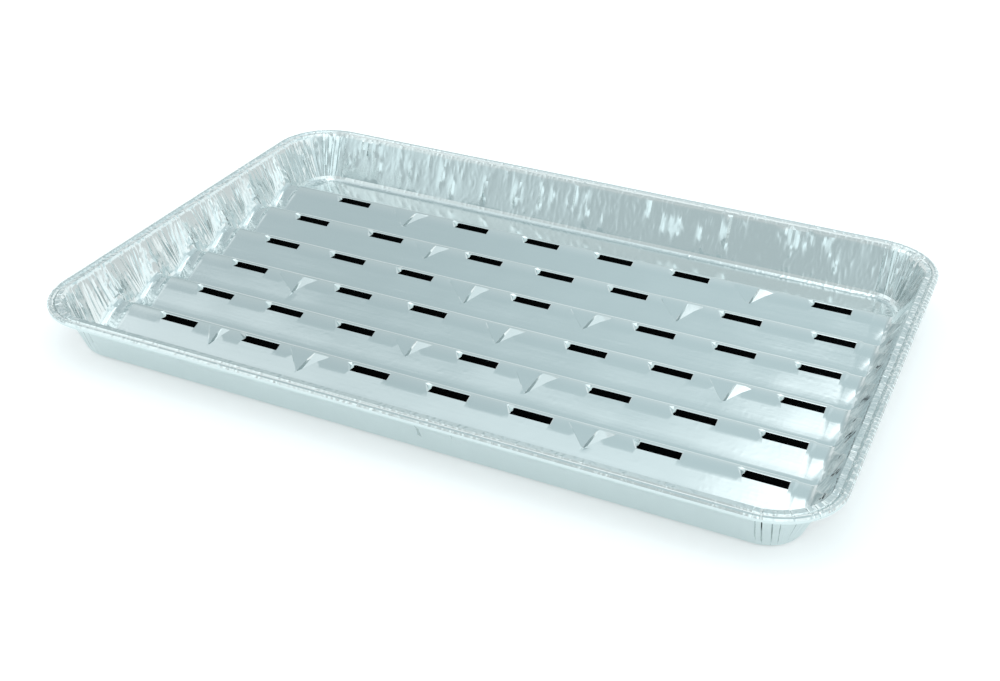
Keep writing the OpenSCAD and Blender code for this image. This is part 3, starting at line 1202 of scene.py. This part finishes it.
@dataclass
class FoilPan:
    """The whole pan: one sheet with its floor, walls and curled rim."""

    form: PanForm = field(default_factory=PanForm)
    finish: RolledFoil = field(default_factory=RolledFoil)
    wear: Wear = field(default_factory=Wear)
    sharp_from: float = 14.0

    def build(self) -> bpy.types.Object:
        """Builds the sheet and dresses it.

        Returns:
            The finished piece.
        """
        floor, wall, rim = RibbedFloor(self.form), GatheredWall(self.form), CurledRim(self.form)
        bm = bmesh.new()
        floor.lay_out(bm)
        floor.punch(bm)
        floor.crease(bm)
        outline = [e for e in bm.edges if e.is_boundary and self.on_outline(e)]
        floor.press(bm)
        log.info("floor: %d faces, outline of %d edges", len(bm.faces), len(outline))
        columns = wall.columns()
        rings = wall.draw(bm, columns)
        foot = ring_edges(bm, rings[0])
        rim.roll(bm, columns, rings[-1])
        bmesh.ops.triangle_fill(bm, edges=outline + foot, use_beauty=True, normal=(0, 0, 1))
        log.info("walls of %d lines: %d faces", len(columns), len(bm.faces))
        layer = bm.verts.layers.float.new("crumple")
        for v in bm.verts:
            v[layer] = self.wear.at(self.form, *v.co)
        bmesh.ops.triangulate(bm, faces=[f for f in bm.faces if len(f.verts) > 4])
        bmesh.ops.recalc_face_normals(bm, faces=bm.faces)
        if sum(f.normal.z for f in bm.faces if f.calc_center_median().z < self.form.ridge_h / 2) < 0:
            bmesh.ops.reverse_faces(bm, faces=bm.faces)
        bmesh.ops.translate(bm, verts=bm.verts, vec=Vector((0, 0, self.form.sheet)))
        bmesh.ops.scale(bm, verts=bm.verts, vec=Vector((MM, MM, MM)))
        return self.finished(bm)

    def on_outline(self, edge: BMEdge) -> bool:
        """Tells an edge of the floor's outline from one of a slot.

        Args:
            edge: An open edge of the flat blank.

        Returns:
            True on the outline.
        """
        form, slack = self.form, 20 * TOUCH
        return all(abs(abs(v.co.x) - form.half_x(v.co.y)) < slack or abs(abs(v.co.y) - form.floor_y) < slack
                   for v in edge.verts)

    def finished(self, bm: BMesh) -> bpy.types.Object:
        """Turns the sheet into a piece with its thickness and finish.

        Args:
            bm: The whole sheet, in metres.

        Returns:
            The piece.
        """
        piece = piece_of(bm, "foil_sheet", self.finish.material())
        for polygon in piece.data.polygons:
            polygon.use_smooth = True
        piece.data.set_sharp_from_angle(angle=math.radians(self.sharp_from))
        thick = piece.modifiers.new("sheet_thickness", "SOLIDIFY")
        thick.thickness = self.form.sheet * MM
        thick.offset = -1.0
        return piece


@dataclass(frozen=True)
class SoftBox:
    """A soft light overhead. Its edges are where a ray meets a ceiling one unit up, each with its blur."""

    power: float
    left: tuple[float, float]
    right: tuple[float, float]
    near: tuple[float, float]
    far: tuple[float, float]


@dataclass
class Studio:
    """White table, soft surroundings and the camera. Lengths here are in metres, angles in degrees."""

    camera_at: tuple[float, float, float] = (0.2199, -0.4926, 0.3155)
    yaw: float = 24.27
    pitch: float = 30.94
    roll: float = 1.09
    lens_px: float = 1389.7
    image_width: int = 1000
    film_width: float = 36.0
    table_half: float = 4.0
    # Painted shade: a dark patch painted on the card under the pan, so that the slots look black; below are
    # its half size, cut corners, blur and colour.
    shade_reach: tuple[float, float, float] = (0.156, 0.0995, 0.0)
    shade_cut: float = 0.012
    shade_edge: float = 0.005
    shade: str = "#1C2022"
    card: str = "#FDFDFD"
    card_glow: float = 0.2
    glow_mirrored: str = "#DDF4F6"
    glow_seen: str = "#FFECE9"
    far_sky: tuple[tuple[float, str], ...] = (
        (0.0, "#F9FFFF"), (0.3, "#F0F8F9"), (0.44, "#D4E0E2"), (0.51, "#ACBFC3"), (0.65, "#CFDDDF"),
        (0.8, "#C4D4D8"), (0.9, "#BCCED2"), (1.0, "#BBCDD1"))
    near_sky: tuple[tuple[float, str], ...] = (
        (0.0, "#C6D6D9"), (0.3, "#C6D6D9"), (0.6, "#DCE6E7"), (1.0, "#B9CBCF"))
    near_turn: tuple[float, float] = (0.0, -0.24)
    base: float = 1.28
    left_dim: float = 0.22
    left_to: tuple[float, float] = (-0.5, -0.2)
    right_from: tuple[float, float] = (0.2, 0.6)
    right_high: float = 0.4
    high_from: tuple[float, float] = (0.2, 0.45)
    right_low: float = -0.4
    low_from: tuple[float, float] = (0.45, 0.2)
    far_from: tuple[float, float] = (0.35, 0.6)
    cards: float = 0.5
    cards_level: float = 0.2
    cards_pitch: float = 7.0
    cards_phase: float = -0.17
    boxes: tuple[SoftBox, ...] = (
        SoftBox(0.33, (-3.0, -1.6), (1.6, 0.8), (-1.0, -0.5), (0.13, 0.05)),
        SoftBox(0.75, (-0.22, -0.11), (0.14, 0.02), (-0.4, -0.1), (0.17, 0.125)),
        SoftBox(0.3, (-1.8, -1.3), (-0.7, -0.85), (-0.4, -0.1), (0.7, 0.5)))

    def table(self) -> bpy.types.Object:
        """Builds the white card that the pan stands on, with shade painted dark on it under the pan, where
        the pan keeps the light off.

        Returns:
            The table.
        """
        made = bpy.data.materials.new("matt_white_card")
        tree = bare_tree(made)
        place = add(tree, "ShaderNodeTexCoord")
        reach = add(tree, "ShaderNodeVectorMath", {0: place.outputs["Object"]}, operation="ABSOLUTE")
        reach = add(tree, "ShaderNodeVectorMath", {0: reach.outputs[0], 1: self.shade_reach},
                    operation="SUBTRACT")
        x, y, _ = add(tree, "ShaderNodeSeparateXYZ", {0: reach.outputs[0]}).outputs
        slant = self.math(tree, "ADD", x, y)
        far = self.math(tree, "MAXIMUM", x, y)
        far = self.math(tree, "MAXIMUM", far, self.math(tree, "ADD", slant, self.shade_cut))
        # Painted shade: inside the pan's footprint the card takes the dark shade colour and loses its glow.
        outside_painted_shade = add(tree, "ShaderNodeMapRange", {"Value": far, "From Min": -self.shade_edge,
                                                    "From Max": 0.0})
        tone = self.mix(tree, outside_painted_shade.outputs[0], linear(self.shade), linear(self.card))
        matt = add(tree, "ShaderNodeBsdfDiffuse", {"Color": tone})
        ray = add(tree, "ShaderNodeLightPath").outputs
        seen = add(tree, "ShaderNodeMath", {0: ray["Is Camera Ray"], 1: ray["Is Glossy Ray"]},
                   operation="ADD", use_clamp=True)
        seen = self.math(tree, "MULTIPLY", seen.outputs[0], outside_painted_shade.outputs[0])
        tint = self.mix(tree, ray["Is Camera Ray"], linear(self.glow_mirrored), linear(self.glow_seen))
        glow = add(tree, "ShaderNodeEmission", {"Color": tint, "Strength": seen})
        glow = add(tree, "ShaderNodeMixShader", {0: self.card_glow, 2: glow.outputs[0]})
        both = add(tree, "ShaderNodeAddShader", {0: matt.outputs[0], 1: glow.outputs[0]})
        add(tree, "ShaderNodeOutputMaterial", {"Surface": both.outputs[0]})
        bm = bmesh.new()
        bmesh.ops.create_grid(bm, x_segments=2, y_segments=2, size=self.table_half)
        return piece_of(bm, "table", made)

    def surroundings(self) -> None:
        """Sets soft light all round: a bright horizon, greyer above it, and the soft boxes overhead.

        The sky is dimmer at the left and low at the far right, and in slow waves on the near side, which
        the far wall shows."""
        world = bpy.data.worlds.new("soft_studio")
        bpy.context.scene.world = world
        tree = bare_tree(world)
        place = add(tree, "ShaderNodeTexCoord")
        x, y, z = add(tree, "ShaderNodeSeparateXYZ", {0: place.outputs["Generated"]}).outputs
        skies = []
        for stops in (self.far_sky, self.near_sky):
            tone = add(tree, "ShaderNodeValToRGB", {0: z})
            for i, (position, colour) in enumerate(stops):
                stop = tone.color_ramp.elements[i] if i < 2 else tone.color_ramp.elements.new(position)
                stop.position, stop.color = position, linear(colour)
            skies.append(tone.outputs[0])
        near = self.step(tree, y, *self.near_turn)
        sky = self.mix(tree, near, *skies)
        high = self.step(tree, z, *self.high_from, 0.0, self.right_high)
        low = self.step(tree, z, *self.low_from, 0.0, self.right_low)
        low = self.math(tree, "MULTIPLY", self.step(tree, y, *self.far_from), low)
        right = self.math(tree, "MULTIPLY", self.step(tree, x, *self.right_from),
                          self.math(tree, "ADD", low, high))
        left = self.step(tree, x, *self.left_to, self.base - self.left_dim, self.base)
        turn = self.math(tree, "MULTIPLY", x, self.cards_pitch)
        cards = self.math(tree, "SINE", self.math(tree, "ADD", turn, self.cards_phase), 0.0)
        cards = self.math(tree, "ADD", self.math(tree, "MULTIPLY", cards, self.cards), self.cards_level)
        power = self.math(tree, "ADD", self.math(tree, "ADD", left, right),
                          self.math(tree, "MULTIPLY", cards, near))
        dome = add(tree, "ShaderNodeBackground", {"Color": sky, "Strength": power})
        height = self.math(tree, "MAXIMUM", z, LOWEST_BOX)
        along = self.math(tree, "DIVIDE", x, height)
        across = self.math(tree, "DIVIDE", y, height)
        total: Socket = 0.0
        for box in self.boxes:
            part: Socket = box.power
            edges = ((along, box.left), (along, box.right), (across, box.near), (across, box.far))
            for socket, edge in edges:
                part = self.math(tree, "MULTIPLY", self.step(tree, socket, *edge), part)
            total = self.math(tree, "ADD", part, total)
        glow = add(tree, "ShaderNodeBackground", {"Color": linear("#FFFFFF"), "Strength": total})
        light = add(tree, "ShaderNodeAddShader", {0: dome.outputs[0], 1: glow.outputs[0]})
        add(tree, "ShaderNodeOutputWorld", {"Surface": light.outputs[0]})

    @staticmethod
    def math(tree: bpy.types.NodeTree, operation: str, a: Socket, b: Socket) -> bpy.types.NodeSocket:
        """Adds a sum, product or the like of two values and gives its socket."""
        return add(tree, "ShaderNodeMath", {0: a, 1: b}, operation=operation).outputs[0]

    @staticmethod
    def mix(tree: bpy.types.NodeTree, share: Socket, a: Colour, b: Colour) -> bpy.types.NodeSocket:
        """Mixes two colours, share being that of the second one, and gives the socket."""
        return add(tree, "ShaderNodeMix", {"Factor": share, 6: a, 7: b}, data_type="RGBA").outputs[2]

    @staticmethod
    def step(tree: bpy.types.NodeTree, value: Socket, low: float, high: float, dark: float = 0.0,
             bright: float = 1.0) -> bpy.types.NodeSocket:
        """Adds a smooth step, dark where the value is at low and bright where it is at high."""
        inputs = {"Value": value, "From Min": low, "From Max": high, "To Min": dark, "To Max": bright}
        return add(tree, "ShaderNodeMapRange", inputs, interpolation_type="SMOOTHSTEP").outputs[0]

    def camera(self) -> None:
        """Places the camera where the photograph was taken from."""
        data = bpy.data.cameras.new("camera")
        data.sensor_width = self.film_width
        data.lens = self.lens_px * data.sensor_width / self.image_width
        camera = bpy.data.objects.new("camera", data)
        turn = (Matrix.Rotation(math.radians(self.yaw), 3, "Z")
                @ Matrix.Rotation(math.radians(90 - self.pitch), 3, "X")
                @ Matrix.Rotation(math.radians(self.roll), 3, "Z"))
        camera.matrix_world = Matrix.Translation(self.camera_at) @ turn.to_4x4()
        bpy.context.collection.objects.link(camera)
        bpy.context.scene.camera = camera

    def build(self) -> bpy.types.Object:
        """Builds the studio.

        Returns:
            The table, which is stage.
        """
        self.surroundings()
        self.camera()
        return self.table()


def main() -> None:
    """Builds the pan in order and dresses the frame with it."""
    logging.basicConfig(level=logging.INFO, format="%(name)s: %(message)s")
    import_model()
    table = Studio().build()
    log.info("table is stage")
    sheet = FoilPan().build()
    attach(sheet, "root")
    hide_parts("foil_pan")
    log.info("foil_sheet rides on root")
    bpy.context.scene.view_settings.view_transform = "Standard"


if __name__ == "__main__":
    main()
